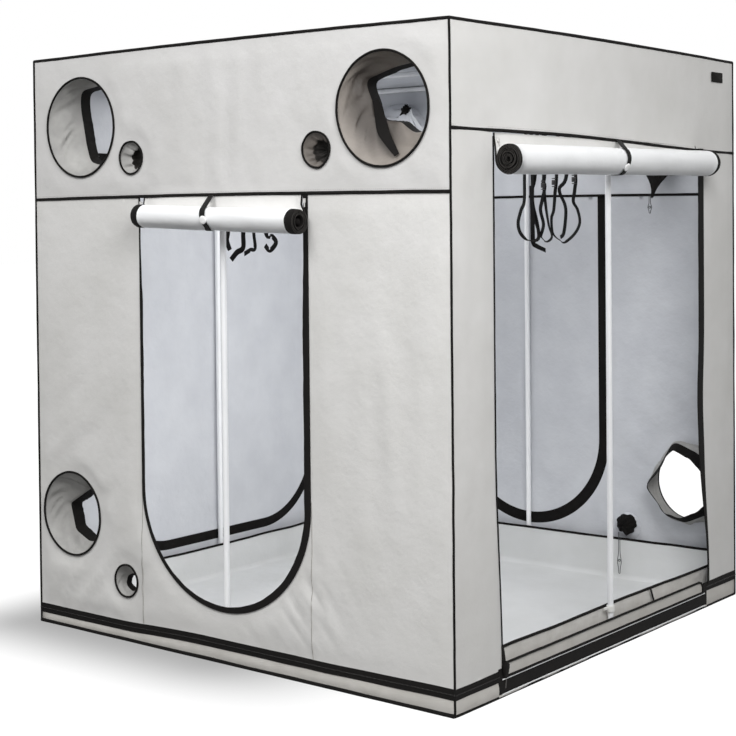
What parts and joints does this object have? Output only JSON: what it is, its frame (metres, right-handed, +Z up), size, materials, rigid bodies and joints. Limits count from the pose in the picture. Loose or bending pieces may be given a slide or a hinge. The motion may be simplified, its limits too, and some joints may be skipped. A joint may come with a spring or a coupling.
{
  "type": "grow tent",
  "caption": "Square walk-in grow tent: steel pole frame in a light grey fabric skin with black zip trim, rolled-up doors, duct ports with sleeves and a zipped base tray.",
  "frame": {"origin": "centre of the base, on the floor", "axes": "+Z up; -Y out of the wall with the U-shaped door; +X out of the wall with the wide open door"},
  "size_m": [2.117, 2.1033, 2.2],
  "materials": {
    "outer_fabric": "woven polyester, matt light grey",
    "door_fabric": "white reflective lining, smooth",
    "tray_fabric": "coated fabric, satin",
    "black_tape": "woven tape, matt",
    "webbing": "woven webbing, matt",
    "white_steel": "white powder coat, semi-gloss",
    "white_plastic": "moulded, semi-matt",
    "slider_metal": "black lacquer",
    "cord": "braided cord"
  },
  "bodies": {
    "tent": {"back_door_zip": "black_tape", "back_header": "outer_fabric", "back_wall": "outer_fabric", "base_floor": "outer_fabric", "base_zip_band": "black_tape", "bottom_corner_back_left": "white_plastic", "bottom_corner_back_right": "white_plastic", "bottom_corner_front_left": "white_plastic", "bottom_corner_front_right": "white_plastic", "bottom_rail_back": "white_steel", "bottom_rail_front": "white_steel", "bottom_rail_left": "white_steel", "bottom_rail_right": "white_steel", "corner_post_back_left": "white_steel", "corner_post_back_right": "white_steel", "corner_post_front_left": "white_steel", "corner_post_front_right": "white_steel", "door_sill_flap": "outer_fabric", "drawcord_lower": "cord", "drawcord_upper": "cord", "floor_tray": "tray_fabric", "front_door_zip": "black_tape", "front_header": "outer_fabric", "front_wall": "outer_fabric", "left_door_zip": "black_tape", "left_wall": "outer_fabric", "mid_post_back": "white_steel", "mid_post_front": "white_steel", "mid_post_left": "white_steel", "mid_post_right": "white_steel", "right_door_zip": "black_tape", "right_wall": "outer_fabric", "roof_panel": "outer_fabric", "sleeve_back_lower_left": "outer_fabric", "sleeve_back_upper_left": "outer_fabric", "sleeve_back_upper_right": "outer_fabric", "sleeve_front_lower_left": "outer_fabric", "sleeve_front_upper_left": "outer_fabric", "sleeve_front_upper_right": "outer_fabric", "top_corner_back_left": "white_plastic", "top_corner_back_right": "white_plastic", "top_corner_front_left": "white_plastic", "top_corner_front_right": "white_plastic", "top_rail_back": "white_steel", "top_rail_front": "white_steel", "top_rail_left": "white_steel", "top_rail_right": "white_steel"},
    "front_door": {"front_door_roll": "door_fabric", "front_roll_strap": "webbing"},
    "right_door": {"right_door_roll": "door_fabric", "right_roll_strap": "webbing"},
    "back_door": {"back_door": "door_fabric"},
    "left_door": {"left_door": "door_fabric"},
    "zip_slider_front_left": {"zip_slider_front_left": "slider_metal"},
    "zip_slider_front_right": {"zip_slider_front_right": "slider_metal"},
    "zip_slider_right": {"zip_slider_right": "slider_metal"},
    "front_roof_bar": {"roof_bar_front": "white_steel"},
    "back_roof_bar": {"roof_bar_back": "white_steel"},
    "front_straps": {"strap_bundle_front": "webbing"},
    "back_straps": {"strap_bundle_back": "webbing"}
  },
  "joints": [
    {"name": "front_door_lift", "type": "hinge", "parent": "tent", "child": "front_door", "pos_m": [0, -1, 1.655], "axis": [-1, 0, 0], "range_deg": [0, 70]},
    {"name": "right_door_lift", "type": "hinge", "parent": "tent", "child": "right_door", "pos_m": [1, 0, 1.845], "axis": [0, -1, 0], "range_deg": [0, 70]},
    {"name": "back_door_swing", "type": "hinge", "parent": "tent", "child": "back_door", "pos_m": [0, 1, 1.655], "axis": [1, 0, 0], "range_deg": [0, 85]},
    {"name": "left_door_swing", "type": "hinge", "parent": "tent", "child": "left_door", "pos_m": [-1, 0, 1.8447], "axis": [0, 1, 0], "range_deg": [0, 85]},
    {"name": "front_left_zip", "type": "slide", "parent": "tent", "child": "zip_slider_front_left", "axis": [0, 0, -1], "range_m": [0, 1]},
    {"name": "front_right_zip", "type": "slide", "parent": "tent", "child": "zip_slider_front_right", "axis": [0, 0, -1], "range_m": [0, 1]},
    {"name": "right_foot_zip", "type": "slide", "parent": "tent", "child": "zip_slider_right", "axis": [0, 1, 0], "range_m": [0, 1.4]},
    {"name": "front_bar_shift", "type": "slide", "parent": "tent", "child": "front_roof_bar", "axis": [0, 1, 0], "range_m": [-0.25, 0.27]},
    {"name": "back_bar_shift", "type": "slide", "parent": "tent", "child": "back_roof_bar", "axis": [0, 1, 0], "range_m": [-0.27, 0.25]},
    {"name": "front_straps_swing", "type": "hinge", "parent": "front_roof_bar", "child": "front_straps", "pos_m": [-0.48, -0.33, 2.1855], "axis": [1, 0, 0], "range_deg": [-20, 20]},
    {"name": "back_straps_swing", "type": "hinge", "parent": "back_roof_bar", "child": "back_straps", "pos_m": [0.51, 0.33, 2.1855], "axis": [1, 0, 0], "range_deg": [-20, 20]}
  ]
}
